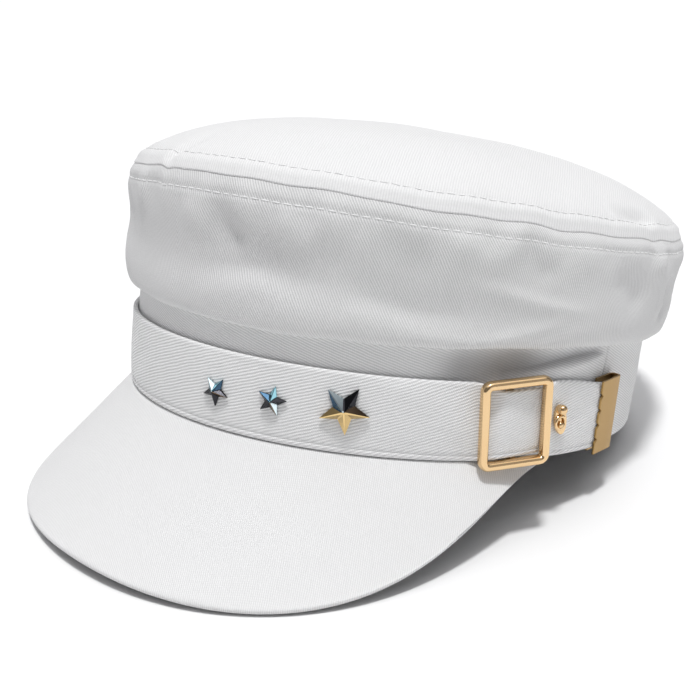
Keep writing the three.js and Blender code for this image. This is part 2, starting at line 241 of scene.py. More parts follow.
def twillFinish(name, look):
    # ribs on the piece's own flat pattern, which its UV map holds in millimetres
    finish, tree, shader = newFinish(name)
    uv = tree.nodes.new("ShaderNodeUVMap")
    uv.uv_map = "cloth"
    coordinates = tree.nodes.new("ShaderNodeTexCoord")
    angle = math.radians(look["ribAngle"])

    def along(x, y):
        node = tree.nodes.new("ShaderNodeVectorMath")
        node.operation = "DOT_PRODUCT"
        node.inputs[1].default_value = (x, y, 0.0)
        tree.links.new(uv.outputs["UV"], node.inputs[0])
        return node.outputs["Value"]

    across = along(-math.sin(angle) / look["ribPitch"], math.cos(angle) / look["ribPitch"])
    onwards = along(math.cos(angle) / look["knotPitch"], math.sin(angle) / look["knotPitch"])
    uneven = noiseNode(tree, uv.outputs["UV"], look["unevenScale"], 3.0)
    sway = mathNode(tree, "MULTIPLY", mathNode(tree, "SUBTRACT", uneven, 0.5), look["uneven"])
    phase = mathNode(tree, "MULTIPLY", mathNode(tree, "ADD", across, sway), 2 * math.pi)
    rib = mathNode(tree, "MULTIPLY_ADD", mathNode(tree, "COSINE", phase), 0.5, 0.5)
    knotPhase = mathNode(tree, "MULTIPLY_ADD", onwards, 2 * math.pi, mathNode(tree, "MULTIPLY", phase, 0.5))
    knot = mathNode(tree, "MULTIPLY_ADD", mathNode(tree, "COSINE", knotPhase), 0.5, 0.5)
    knots = mathNode(tree, "MULTIPLY_ADD", knot, look["knot"], 1 - look["knot"])
    height = mathNode(tree, "MULTIPLY", rib, knots)
    slub = noiseNode(tree, uv.outputs["UV"], look["slubScale"], 4.0, 0.6)
    height = mathNode(tree, "MULTIPLY_ADD", slub, look["slub"], height)
    bumpNode = tree.nodes.new("ShaderNodeBump")
    bumpNode.inputs["Strength"].default_value = 1.0
    bumpNode.inputs["Distance"].default_value = look["relief"] * mm
    tree.links.new(height, bumpNode.inputs["Height"])
    tree.links.new(bumpNode.outputs["Normal"], shader.inputs["Normal"])
    cloud = noiseNode(tree, coordinates.outputs["Object"], look["cloudScale"], 3.0)
    light = tuple(look["colour"])
    # painted shade: the colour darkens with the weave's height, so its valleys are darker, as the shade
    # between the ribs
    dark = tuple(v * look["valley"] for v in look["colour"])
    ribs = mixColours(tree, height, dark, light)
    clouded = mixColours(tree, mathNode(tree, "MULTIPLY", cloud, look["cloud"]), ribs, tuple(look["shade"]))
    # painted shade: the colour greys by the hollow attribute, the depth of the folds, in place of the shadow
    # in deep creases
    hollow = tree.nodes.new("ShaderNodeAttribute")
    hollow.attribute_name = "hollow"
    foldShadeShare = mathNode(tree, "MULTIPLY", hollow.outputs["Fac"], look["foldShade"])
    foldShaded = mixColours(tree, foldShadeShare, clouded, look["foldShadeColour"])
    tree.links.new(foldShaded, shader.inputs["Base Color"])
    shader.inputs["Roughness"].default_value = look["roughness"]
    shader.inputs["Specular IOR Level"].default_value = 0.25
    shader.inputs["Sheen Weight"].default_value = look["sheen"]
    shader.inputs["Sheen Roughness"].default_value = 0.5
    return finish


def metalFinish(name, look):
    finish, tree, shader = newFinish(name)
    coordinates = tree.nodes.new("ShaderNodeTexCoord")
    fine = noiseNode(tree, coordinates.outputs["Object"], look["scratchScale"], 5.0, 0.65)
    broad = noiseNode(tree, coordinates.outputs["Object"], look["cloudScale"], 3.0)
    base = mixColours(tree, broad, tuple(look["colour"]), tuple(look["deep"]))
    # each face's colour multiplies the metal's; on the stars it is partly plating and partly painted
    # reflection
    platingAndReflectionNode = tree.nodes.new("ShaderNodeAttribute")
    platingAndReflectionNode.attribute_name = "platingAndReflection"
    tint = tree.nodes.new("ShaderNodeMix")
    tint.data_type, tint.blend_type = "RGBA", "MULTIPLY"
    tint.inputs[0].default_value = 1.0
    tree.links.new(base, tint.inputs[6])
    tree.links.new(platingAndReflectionNode.outputs["Color"], tint.inputs[7])
    tree.links.new(tint.outputs[2], shader.inputs["Base Color"])
    rough = mathNode(tree, "MULTIPLY_ADD", fine, look["roughSpread"], look["roughness"])
    tree.links.new(rough, shader.inputs["Roughness"])
    bumpNode = tree.nodes.new("ShaderNodeBump")
    bumpNode.inputs["Strength"].default_value = look["grain"]
    bumpNode.inputs["Distance"].default_value = 0.02 * mm
    tree.links.new(fine, bumpNode.inputs["Height"])
    tree.links.new(bumpNode.outputs["Normal"], shader.inputs["Normal"])
    shader.inputs["Metallic"].default_value = 1.0
    return finish


def threadFinish(name, look):
    finish, tree, shader = newFinish(name)
    coordinates = tree.nodes.new("ShaderNodeTexCoord")
    fibre = noiseNode(tree, coordinates.outputs["Object"], look["fibreScale"], 3.0)
    tint = mixColours(tree, fibre, tuple(look["colour"]), tuple(look["deep"]))
    tree.links.new(tint, shader.inputs["Base Color"])
    shader.inputs["Roughness"].default_value = look["roughness"]
    shader.inputs["Sheen Weight"].default_value = 0.2
    return finish


cotton = {
    # valley: the share of the colour left in the weave's valleys, a painted shade between the ribs
    "colour": (0.78, 0.78, 0.778), "shade": (0.72, 0.72, 0.724), "valley": 0.62,
    "roughness": 0.9, "sheen": 0.05, "relief": 0.10,
    "ribPitch": 0.78, "knotPitch": 0.62, "ribAngle": 120.0, "knot": 0.35,
    "uneven": 0.7, "unevenScale": 0.16, "slub": 0.5, "slubScale": 1.3, "cloud": 0.25, "cloudScale": 25.0,
    # painted shade: the cloth is greyed where a fold is deep, in place of the shadow in its crease
    "foldShade": 0.58, "foldShadeColour": (0.30, 0.30, 0.31),   # the cloth greys where a fold is deep
}
brighter = {"colour": (0.86, 0.86, 0.858)}
twills = {
    "side": twillFinish("crownSideTwill", {**cotton, "ribAngle": 118.0}),
    "tip": twillFinish("crownTipTwill", {**cotton, "ribAngle": 125.0, "relief": 0.06, "valley": 0.80}),
    "band": twillFinish("bandTwill", {**cotton, **brighter, "ribAngle": 162.0, "relief": 0.08}),
    "strap": twillFinish("strapTwill", {
        **cotton, **brighter, "shade": (0.80, 0.80, 0.804),
        "ribAngle": 21.0, "ribPitch": 0.98, "relief": 0.13}),
    "peak": twillFinish("peakTwill", {
        **cotton, "ribAngle": 117.0, "ribPitch": 0.72, "relief": 0.06, "valley": 0.78}),
}
thread = threadFinish("cottonThread", {
    "colour": (0.84, 0.84, 0.835), "deep": (0.78, 0.78, 0.78), "fibreScale": 3000.0, "roughness": 0.7})
gold = {
    "colour": (0.83, 0.60, 0.34), "deep": (0.78, 0.54, 0.29), "roughness": 0.09, "roughSpread": 0.08,
    "scratchScale": 1400.0, "cloudScale": 90.0, "grain": 0.12,
}
metals = {
    "buckle": metalFinish("polishedGold", gold),
    "clip": metalFinish("satinGold", {
        **gold, "colour": (0.42, 0.27, 0.105), "deep": (0.40, 0.255, 0.10),
        "roughness": 0.32, "roughSpread": 0.1}),
    "dark": metalFinish("polishedSteel", {
        **gold, "colour": (1.0, 1.0, 1.0), "deep": (0.9, 0.9, 0.9), "roughness": 0.08, "roughSpread": 0.06}),
}
print("finishes made:", len(twills) + len(metals) + 1)


def crease(path, depth, above, below, ease=0.35):
    # a fold: its path in degrees and share of height, its depth and its reach above and below in mm, and the
    # share of its length over which it fades at each end
    return {"path": path, "depth": depth, "above": above, "below": below, "ease": ease}


def foldDepth(across, up, one, perDegree, perUp):
    # how far one fold takes the cloth inwards
    path = np.array(one["path"], float) * (perDegree, perUp)
    s, t = across * perDegree, up * perUp
    best = np.full(s.shape, 1e9)
    depth = np.zeros(s.shape)
    lengths = np.linalg.norm(np.diff(path, axis=0), axis=1)
    total, run = lengths.sum(), 0.0
    ease = one["ease"]
    depths, above, below = (
        np.broadcast_to(np.array(one[key], float), len(path)) for key in ("depth", "above", "below"))
    for k, length in enumerate(lengths):
        start, way = path[k], (path[k + 1] - path[k]) / max(length, 1e-6)
        ds, dt = s - start[0], t - start[1]
        on = np.clip(ds * way[0] + dt * way[1], 0, length)
        rs, rt = ds - on * way[0], dt - on * way[1]
        distance = np.hypot(rs, rt)
        part = on / max(length, 1e-6)
        over = above[k] + (above[k + 1] - above[k]) * part
        under = below[k] + (below[k + 1] - below[k]) * part
        width = np.where(rt > 0, over, under)
        share = (run + on) / total
        fade = np.clip(np.minimum(share, 1 - share) / ease, 0, 1)
        fade = fade * fade * (3 - 2 * fade) if ease > 0 else 1.0
        strength = depths[k] + (depths[k + 1] - depths[k]) * part
        value = strength * fade * np.exp(-(distance / width) ** 2)
        nearer = distance < best
        depth = np.where(nearer, value, depth)
        best = np.minimum(best, distance)
        run += length
    return depth


def foldsDepth(folds, angle, up, perDegree, perUp):
    # all folds of a piece together; perDegree and perUp turn their places into mm
    depth = np.zeros(up.shape)
    for one in folds:
        middle = np.mean([point[0] for point in one["path"]])
        depth += foldDepth(turnBetween(angle, middle) + middle, up, one, perDegree, perUp)
    return depth


def ripples(angle, cycles, seed):
    # small puckers that go on round the whole ring, so they meet at its start
    phases = np.random.default_rng(seed).uniform(0, 2 * math.pi, len(cycles))
    waves = [np.sin(np.radians(angle) * n + p) for n, p in zip(cycles, phases)]
    return sum(waves) / len(waves)


def spread(counts):
    # samples of a smoothLine: so many to each stretch between knots
    parts = [np.linspace(k, k + 1, n, endpoint=False) for k, n in enumerate(counts)]
    return np.concatenate(parts + [[len(counts)]])


def withLining(outer, uv, thickness, loop, rows):
    # closes a cloth wall with its inner face, which needs fewer rows
    normals = gridNormals(outer, loop)
    inner = (outer - normals * thickness)[rows][::-1]
    return np.concatenate([outer, inner]), np.concatenate([uv, uv[rows][::-1]])


def ringUv(grid):
    # lengths round and along the cloth, in mm; rounds go on past the last column
    middle = grid[len(grid) // 2]
    steps = np.linalg.norm(np.roll(middle, -1, 0) - middle, axis=1)
    u = np.concatenate([[0], np.cumsum(steps)[:-1]])
    v = np.concatenate([[0], np.cumsum(np.linalg.norm(np.diff(grid[:, 0], axis=0), axis=1))])
    return np.stack(np.broadcast_arrays(u[None, :], v[:, None]), -1)


seamWave = {
    "height": 0.55, "waves": (6, 11, 17, 29),
    "kinks": [{"angle": -4.5, "up": -0.9, "wide": 1.6}, {"angle": 66.0, "up": 0.6, "wide": 3.5},
              {"angle": 73.0, "up": -0.5, "wide": 3.0}, {"angle": 99.0, "up": -0.7, "wide": 2.0}],
}
side = {
    "columns": 400, "wall": 1.5, "perDegree": 1.75, "tall": 40.0, "hang": 0.5,   # mm
    # the wall's line: mm outside the straight line from fold to seam, and share of its height
    "line": [(-5.6, 0.034), (-3.9, 0.014), (-2.2, 0.0), (-0.9, -0.002), (0.2, 0.012), (0.95, 0.042),
             (1.45, 0.09), (1.95, 0.18), (2.2, 0.34), (2.2, 0.54), (2.6, 0.73), (2.3, 0.85), (1.5, 0.915),
             (0.9, 0.955), (0.3, 0.985), (-0.4, 0.999), (-1.4, 1.0), (-2.7, 0.994)],
    "rowsBetween": [2, 2, 2, 3, 3, 3, 4, 7, 9, 9, 7, 4, 3, 3, 3, 3, 2],
    "stitchUp": 0.875, "puffy": 0.35, "groove": 0.4, "pucker": 0.22, "scallop": 0.8,
    # the last entry is the fold depth, mm, at which the painted shade in the creases is full
    "uneven": 0.55, "unevenSize": 34.0, "ripple": 0.12, "rippleSize": 9.0, "foldShadeFullAt": 9.0,
}
sideFolds = [
    # the long valley over the lower roll, from the front to the left
    crease([(-62, 0.55), (-30, 0.52), (-10, 0.42), (5, 0.40), (14, 0.42), (20, 0.43), (28, 0.40),
            (34, 0.41), (40, 0.34), (48, 0.27), (58, 0.27), (68, 0.24), (82, 0.22)],
           [0.9, 1.5, 1.7, 1.7, 2.8, 3.4, 2.6, 1.9, 2.4, 2.8, 2.2, 1.3, 0.5],
           [13, 14, 14, 14, 11, 10, 12, 13, 11, 12, 13, 13, 12],
           [8, 8, 8, 7, 4.2, 3.6, 5.5, 7, 4.6, 4.4, 6, 8, 8], 0.06),
    crease([(8, 0.84), (12.5, 0.66), (17, 0.50)], [0.9, 2.0, 1.8], 4.5, 4.5),
    crease([(2, 0.80), (6, 0.66), (9, 0.55)], -0.7, 4.0, 4.0),
    crease([(22, 0.80), (26, 0.66), (31, 0.56)], -0.8, 6.0, 6.0),
    crease([(38, 0.8), (46, 0.68), (53, 0.56)], 1.6, 6.0, 7.0),
    crease([(52, 0.84), (58, 0.74), (63, 0.6)], -0.8, 4.0, 4.0),
    crease([(64, 0.86), (69, 0.68), (73, 0.54)], 1.4, 4.5, 5.0),
    crease([(55, 0.52), (63, 0.46), (71, 0.38), (84, 0.30)], -1.0, 2.2, 3.4, 0.4),
    crease([(58, 0.0), (64, 0.08), (71, 0.17), (78, 0.29)], -0.7, 2.2, 2.6, 0.4),
    crease([(69, 1.0), (67, 0.9), (64, 0.78)], [0.4, 0.7, 0.5], 3.2, 3.2, 0.3),
    crease([(100, 0.95), (105, 0.6), (108, 0.2)], -1.5, 6.0, 6.0, 0.25),
    crease([(86, 0.76), (93, 0.5), (98, 0.3)], 1.3, 7.0, 7.0),
    crease([(108, 0.66), (110, 0.4), (111, 0.15)], 1.8, 4.5, 4.5),
    # the far side and the back, in the same manner
    crease([(116, 0.62), (128, 0.45), (140, 0.42), (152, 0.5)], [0.8, 2.4, 2.6, 1.0], 8.0, 4.0),
    crease([(150, 0.82), (158, 0.62), (163, 0.5)], 1.4, 5.5, 5.5),
    crease([(163, 0.4), (172, 0.52), (184, 0.5), (196, 0.42)], [0.8, 2.2, 2.4, 0.8], 8.0, 4.5),
    crease([(214, 0.5), (226, 0.36), (240, 0.34), (254, 0.4)], [0.8, 2.4, 2.6, 1.0], 9.0, 4.0),
    crease([(206, 0.84), (213, 0.66), (219, 0.5)], 1.3, 5.0, 5.5),
    crease([(248, 0.86), (256, 0.66), (262, 0.5)], 1.4, 5.5, 6.0),
    crease([(262, 0.34), (272, 0.4), (284, 0.5)], [0.8, 2.2, 1.0], 7.0, 4.0),
    crease([(286, 0.8), (292, 0.62), (296, 0.45)], 1.2, 5.5, 5.5),
]


def rimWave(angle):
    # how far the top seam rises and dips round the crown, with its small kink at the front
    wave = seamWave["height"] * ripples(angle, seamWave["waves"], 9)
    for place in seamWave["kinks"]:
        wave = wave + place["up"] * bump(turnBetween(angle, place["angle"]), place["wide"])
    return wave


def sideGrid():
    angles = np.arange(side["columns"]) * 360.0 / side["columns"]
    line = smoothLine(side["line"], spread(side["rowsBetween"]))
    out, up = line[:, 0][:, None], line[:, 1][:, None]
    angle = np.broadcast_to(angles[None, :], (len(line), len(angles)))
    up = np.broadcast_to(up, angle.shape)
    level = np.clip(up, -0.02, 1.02)
    base = onEdge(fold, angle) * (1 - level[..., None]) + onEdge(seam, angle) * level[..., None]
    depth = foldsDepth(sideFolds, angle, up, side["perDegree"], side["tall"])
    # nothing moves at the two seams
    free = np.clip((up - 0.02) / 0.1, 0, 1) * np.clip((1.0 - up) / 0.06, 0, 1)
    mark = side["stitchUp"]
    puffy = side["puffy"] * bump(up - (mark + 1.0) / 2, 0.055) - side["groove"] * bump(up - mark, 0.022)
    pucker = side["pucker"] * ripples(angle, (71, 89, 113, 138), 4) * bump(up - mark, 0.1)
    pucker = pucker + side["scallop"] * ripples(angle, (23, 31, 38, 47), 11) * bump(up - mark + 0.08, 0.13)
    onWay = base + outFrom(angle) * out[..., None]
    broad = side["uneven"] * wander(onWay, side["unevenSize"], 3)
    small = side["ripple"] * wander(onWay, side["rippleSize"], 8)
    push = out + (puffy + pucker + broad + small - depth) * free
    grid = base + outFrom(angle) * push[..., None]
    # the fold's lower edge isn't quite level
    hang = side["hang"] * ripples(angle, (5, 9, 14, 23), 2) * np.clip(1 - up / 0.3, 0, 1)
    grid[..., 2] += hang + rimWave(angle) * np.clip(up, 0, 1) ** 5
    # the third value sets the painted shade in the folds, from their depth
    return up, grid, depth * free / side["foldShadeFullAt"]


sideUp, sideOuter, sideFoldShade = sideGrid()
sideUv = ringUv(sideOuter)
rowsKept = list(range(0, len(sideOuter) - 1, 3)) + [len(sideOuter) - 1]
sideShell, sideShellUv = withLining(sideOuter, sideUv, side["wall"], True, rowsKept)
crownSide = meshFromGrid("crown_side_cloth", sideShell, sideShellUv, twills["side"], hollow=sideFoldShade)
finishPiece(crownSide, "crown_twill", "crown_side")
print("crown side:", len(crownSide.data.polygons), "faces")


tip = {
    "columns": 400, "wall": 1.5, "rise": 26.0, "shoulder": 2.22, "round": 0.63, "perDegree": 1.75,
    "out": 100.0, "over": 0.15,   # mm from the middle to the rim, and over the seam
    "shares": [0.03, 0.08, 0.14, 0.2, 0.26, 0.32, 0.38, 0.44, 0.5, 0.55, 0.6, 0.645, 0.69, 0.73, 0.77, 0.805,
               0.835, 0.862, 0.885, 0.905, 0.922, 0.936, 0.948, 0.958, 0.967, 0.975, 0.982, 0.988, 0.993,
               0.997, 1.0],
    # under the rim the cloth turns down and in, into the seam: mm outwards and upwards
    "rimOut": 0.25, "turnIn": [(0.35, -0.35), (0.1, -0.55), (-0.9, -0.6), (-2.2, -0.5)],
    "stitchShare": 0.967, "puffy": 0.3, "groove": 0.18, "pucker": 0.22,
    "uneven": 0.9, "unevenSize": 46.0, "ripple": 0.16, "rippleSize": 13.0,
}
tipFolds = [
    crease([(88, 0.945), (96, 0.953), (106, 0.95)], [1.3, 2.2, 1.6], 1.8, 3.4, 0.3),
    crease([(-6, 1.0), (-4.5, 0.95), (-2, 0.90)], [1.1, 0.9, 0.3], 1.8, 1.8, 0.05),
    crease([(36, 0.93), (44, 0.86), (50, 0.78)], 0.7, 5.0, 5.0),
    crease([(10, 0.9), (24, 0.8), (40, 0.74)], 0.5, 6.0, 6.0),
    crease([(72, 0.93), (80, 0.82), (86, 0.7)], 0.5, 6.0, 6.0),
    crease([(140, 0.94), (150, 0.84), (158, 0.72)], 0.9, 6.0, 6.0),
    crease([(192, 0.95), (200, 0.88), (212, 0.8)], 0.9, 5.0, 6.0),
    crease([(255, 0.94), (262, 0.84), (272, 0.74)], 0.8, 6.0, 6.0),
]


def tipGrid():
    angles = np.arange(tip["columns"]) * 360.0 / tip["columns"]
    share, angle = np.meshgrid(tip["shares"], angles, indexing="ij")
    grid = onEdge(seam, angle, share)
    level = seam["height"] + (grid[..., 2] - seam["height"]) * share
    rise = tip["rise"] * (1 - share ** tip["shoulder"]) ** tip["round"]
    depth = foldsDepth(tipFolds, angle, share, tip["perDegree"], tip["out"])
    mark = tip["stitchShare"]
    puffy = tip["puffy"] * bump(share - (mark + 1) / 2, 0.01) - tip["groove"] * bump(share - mark, 0.008)
    pucker = tip["pucker"] * ripples(angle, (67, 91, 109, 143), 5) * bump(share - mark, 0.04)
    broad = tip["uneven"] * wander(grid, tip["unevenSize"], 6) * np.clip((1 - share) / 0.1, 0, 1)
    small = tip["ripple"] * wander(grid, tip["rippleSize"], 7)
    free = np.clip((1.0 - share) / 0.012, 0, 1)
    grid[..., 2] = level + rise + tip["over"] + rimWave(angle) * share ** 14
    normals = -gridNormals(grid, True)
    normals *= np.sign(normals[..., 2:3])
    grid = grid + normals * ((puffy + pucker + broad + small - depth) * free)[..., None]
    return grid, outFrom(angle[-1])


tipOuter, tipWay = tipGrid()
tipRim = [tipOuter[-1] + tipWay * out + np.array([0, 0, up]) for out, up in tip["turnIn"]]
tipOuter = np.concatenate([tipOuter[:-1], [tipOuter[-1] + tipWay * tip["rimOut"]], tipRim])
tipUv = tipOuter[..., :2].copy()
topRows = len(tip["shares"])   # the rows before the rim turns in
tipInnerRows = list(range(0, topRows, 2))
tipNormals = gridNormals(tipOuter, True)
tipNormals *= np.sign(tipNormals[..., 2:3] + 1e-9)
tipInner = (tipOuter[:topRows] - tipNormals[:topRows] * tip["wall"])[tipInnerRows]
tipInner[-1] = tipOuter[-1] + np.array([0, 0, 0.5])
tipShell = np.concatenate([tipOuter, tipInner[::-1]])
tipShellUv = np.concatenate([tipUv, tipUv[:topRows][tipInnerRows][::-1]])
topMiddle = tipOuter[0].mean(0) + np.array([0, 0, 0.05])
crownTip = meshFromGrid(
    "crown_tip_cloth", tipShell, tipShellUv, twills["tip"], wrap=False, flat=True,
    poles=(topMiddle, topMiddle - np.array([0, 0, tip["wall"]])))
finishPiece(crownTip, "crown_twill", "crown_tip")
print("crown top:", len(crownTip.data.polygons), "faces")


headBand = {
    "columns": 400, "seams": (94.4, -94.4), "seamWide": 0.45, "seamDeep": 0.8,
    "uneven": 0.35, "unevenSize": 26.0, "edge": 1.2, "perDegree": 1.68, "tall": 37.0,
    # the last entry is the fold depth at which the painted shade in the creases is full
    "foldShadeFullAt": 2.6,   # mm of depth that is fully greyed
}
bandFolds = [
    # the crease that runs from the seam down behind the buckle, with a hollow over it
    crease([(94, 0.89), (86, 0.855), (79.5, 0.82), (72, 0.76), (66, 0.70)],
           [2.0, 2.9, 2.8, 2.2, 1.4], [2.2, 3.4, 3.9, 4.3, 4.5], 0.7, 0.10),
    crease([(48, 0.84), (58, 0.82), (70, 0.84), (80, 0.92)], [0.8, 2.4, 2.6, 1.4], 6.0, 6.0),
    crease([(92, 0.82), (84, 0.78), (76, 0.72)], -0.6, 0.9, 1.8, 0.3),
    crease([(120, 0.9), (128, 0.7), (133, 0.5)], 0.5, 4.0, 4.0),
    crease([(176, 0.85), (186, 0.6), (192, 0.4)], 0.6, 5.0, 4.0),
    crease([(226, 0.9), (234, 0.65), (240, 0.45)], 0.5, 4.0, 4.0),
]


def bandDepth(angle, up):
    depth = foldsDepth(bandFolds, angle, up, headBand["perDegree"], headBand["tall"])
    return depth * np.clip(up / 0.1, 0, 1)


def bandGrid():
    near = np.arange(-1.2, 1.21, 0.2)
    even = np.arange(headBand["columns"]) * 360.0 / headBand["columns"]
    angles = np.unique(np.round(np.concatenate([even] + [near + at % 360 for at in headBand["seams"]]), 3))
    top = onEdge(fold, angles)[:, 2] + 0.9
    edge, wall = headBand["edge"], band["wall"]
    # the wall's section: the outer face from its rounded lower edge up, then the inner face back down
    outer, ups = [], []
    for turn in np.radians([-90, -60, -30, 0]):
        rise = edge * (1 + math.sin(turn))
        outer.append(onBand(angles, rise, edge * (math.cos(turn) - 1)))
        ups.append(rise / top)
    for up in [*np.linspace(0.06, 0.74, 18), *np.linspace(0.76, 1.0, 16)]:
        outer.append(onBand(angles, top * up, 0.0))
        ups.append(np.full_like(angles, up))
    outer, up = np.array(outer), np.array(ups)
    angle = np.broadcast_to(angles, up.shape)
    depth = bandDepth(angle, up)
    seams = [turnBetween(angle, at) * headBand["perDegree"] for at in headBand["seams"]]
    stitched = sum(bump(away, headBand["seamWide"]) for away in seams)
    free = np.clip((up - 0.1) / 0.2, 0, 1)
    push = headBand["uneven"] * wander(outer, headBand["unevenSize"], 12) * free
    push -= depth + headBand["seamDeep"] * stitched * np.clip(up / 0.1, 0, 1)
    outer = outer + outFrom(angle) * push[..., None]
    inner = []
    for up in (1.0, 0.95, 0.9, 0.85, 0.8, 0.75, 0.7, 0.65, 0.58, 0.45, 0.25, 0.08):
        pressed = bandDepth(angles, np.full_like(angles, up))
        inner.append(onBand(angles, top * up, -wall) - outFrom(angles) * pressed[:, None])
    for turn in np.radians([180, 210, 240]):
        inner.append(onBand(angles, edge * (1 + math.sin(turn)), edge * (math.cos(turn) + 1) - wall))
    # the third value sets the painted shade in the folds, from their depth
    return outer, np.array(inner), depth / headBand["foldShadeFullAt"]


bandOuter, bandInner, bandFoldShade = bandGrid()
bandShell = np.concatenate([bandOuter, bandInner])


def aboveTable(grid, least=0.0):
    # the cloth that would hang below the table lies flat on it
    tilted = toFrame(grid) / mm
    low = np.minimum(tilted[..., 2] - least, 0)
    grid = grid.copy()
    grid[..., 2] -= low / math.cos(math.radians(lay["tilt"]))
    return grid


bandShell = aboveTable(bandShell)
bandUv = ringUv(bandOuter)
innerUv = bandUv[np.linspace(len(bandOuter) - 1, 0, len(bandInner)).astype(int)]
headBandCloth = meshFromGrid(
    "head_band_cloth", bandShell, np.concatenate([bandUv, innerUv]), twills["band"], hollow=bandFoldShade)
finishPiece(headBandCloth, "band_twill", "head_band")
print("head band:", len(headBandCloth.data.polygons), "faces")


strap = {
    "width": 26.0, "start": -105.0, "end": 96.8, "crown": 0.35, "wall": 1.8, "gap": 0.3, "columns": 340,
    "edge": 0.9, "stitchIn": 2.0, "groove": 0.3, "grooveWide": 0.35, "uneven": 0.3, "unevenSize": 22.0,
    "perDegree": 1.72,
    # where it stands off the band, how far its lower and top edges are drawn in there, and how they lean
    "lifts": [{"angle": 70.5, "lift": 4.0, "flat": 3.5, "reach": 9.6, "low": 2.6, "top": 1.0, "lean": 0.2},
              {"angle": 94.5, "lift": 1.2, "flat": 0.0, "reach": 14.0, "low": 0.8, "top": 2.2, "lean": 0.0}],
}
strapFolds = [
    crease([(43, 1.05), (52, 0.75), (62, 0.4), (66, 0.1)], -0.55, 7.0, 6.0, 0.2),
    crease([(-30, 0.9), (-20, 0.6), (-8, 0.5)], 0.35, 6.0, 6.0),
    crease([(78, 0.2), (86, 0.5), (92, 0.85)], 0.3, 3.0, 3.0),
]


def strapAt(angle):
    lifted, low, top = np.full_like(angle, strap["gap"]), np.zeros_like(angle), np.zeros_like(angle)
    for place in strap["lifts"]:
        near = (np.abs(angle - place["angle"]) - place["flat"]) / (place["reach"] - place["flat"])
        share = np.cos(np.clip(near, 0, 1) * math.pi / 2) ** 2
        lifted += place["lift"] * share
        lean = place["lean"] * (angle - place["angle"])
        low += (place["low"] + lean) * share
        top += (place["top"] - lean) * share
    return lifted, low, top


def strapPoint(angle, up, face):
    # face 1 is the outer side, 0 the one that lies on the band. up runs over the strap's width.
    lifted, low, top = strapAt(angle)
    z = low + (strap["width"] - low - top) * up
    middle = strap["wall"] / 2
    edge = strap["edge"] / strap["width"]
    inside = np.clip((np.abs(2 * up - 1) - (1 - 2 * edge)) / (2 * edge), 0, 1)
    half = middle * np.sqrt(np.maximum(1 - inside ** 2, 0.0))
    out = lifted + middle + (2 * face - 1) * half + face * strap["crown"] * np.sin(math.pi * up)
    return out, z


def strapGrid():
    angles = np.linspace(strap["start"], strap["end"], strap["columns"])
    edge = strap["edge"] / strap["width"]
    soft = edge * (1 - np.cos(np.radians([0, 25, 50, 72])))
    mark = strap["stitchIn"] / strap["width"]
    low = np.concatenate([soft, [edge * 1.3, mark * 0.7, mark * 0.88, mark, mark * 1.12, mark * 1.3]])
    ups = np.concatenate([low, np.linspace(mark * 1.7, 1 - mark * 1.7, 17), 1 - low[::-1]])
    up, angle = np.meshgrid(ups, angles, indexing="ij")
    out, z = strapPoint(angle, up, 1)
    groove = strap["groove"] * bump(up - mark, strap["grooveWide"] / strap["width"])   # where the hem is sewn
    depth = foldsDepth(strapFolds, angle, up, strap["perDegree"], strap["width"])
    free = np.clip(np.minimum(up, 1 - up) / 0.12, 0, 1) * np.clip((strap["end"] - angle) / 4, 0, 1)
    flatGrid = onBand(angle, z, out)
    push = strap["uneven"] * wander(flatGrid, strap["unevenSize"], 21) - depth
    outer = onBand(angle, z, out + push * free - groove)
    innerUps = np.concatenate([1 - soft[1:], np.linspace(0.9, 0.1, 7), soft[:0:-1]])
    innerUp, innerAngle = np.meshgrid(innerUps, angles, indexing="ij")
    innerOut, innerZ = strapPoint(innerAngle, innerUp, 0)
    inner = onBand(innerAngle, innerZ, innerOut)
    length = np.concatenate([[0], np.cumsum(np.linalg.norm(np.diff(outer[20], axis=0), axis=1))])
    allUps = np.concatenate([ups, innerUps])
    uv = np.stack(np.broadcast_arrays(length[None, :], allUps[:, None] * strap["width"]), -1)
    return np.concatenate([outer, inner]), uv


strapShell, strapUv = strapGrid()
strapCloth = meshFromGrid("strap_cloth", strapShell, strapUv, twills["strap"], loop=False)
finishPiece(strapCloth, "strap_twill", "strap")
print("strap:", len(strapCloth.data.polygons), "faces")


peak = {
    "end": 79.0, "span": 85.0, "depth": 55.4, "flank": 25.0, "corner": 3.09, "taper": 2.66, "slope": 49.5,
    "endSlope": 9.5, "wall": 2.4, "thinEnd": 0.45, "columns": 240, "uneven": 0.22, "unevenSize": 24.0,
    "rimSeam": 0.3, "crowding": 0.35, "gap": 0.3, "rootDeep": 1.4, "clear": 0.05,   # clear of the table
}


def peakPoint(angle, share, down):
    # share runs from the band to the rim, down from the top face to the under face
    t = angle / peak["span"]
    slope = np.radians(peak["slope"] + peak["endSlope"] * t ** 2)
    full = np.sqrt(np.maximum(1 - (angle / peak["end"]) ** 2, 0))
    thick = peak["wall"] * (peak["thinEnd"] + (1 - peak["thinEnd"]) * full)
    depth = (peak["depth"] + peak["flank"] * t ** 2) * (1 - np.abs(t) ** peak["corner"]) ** peak["taper"]
    along = depth * share
    point = onBand(angle, -peak["gap"] + 0 * angle, 0.6 * band["wall"])
    point = point + outFrom(angle) * (along * np.cos(slope) - down * thick * np.sin(slope))[..., None]
    point[..., 2] -= along * np.sin(slope) + down * thick * np.cos(slope)
    return point, depth, thick


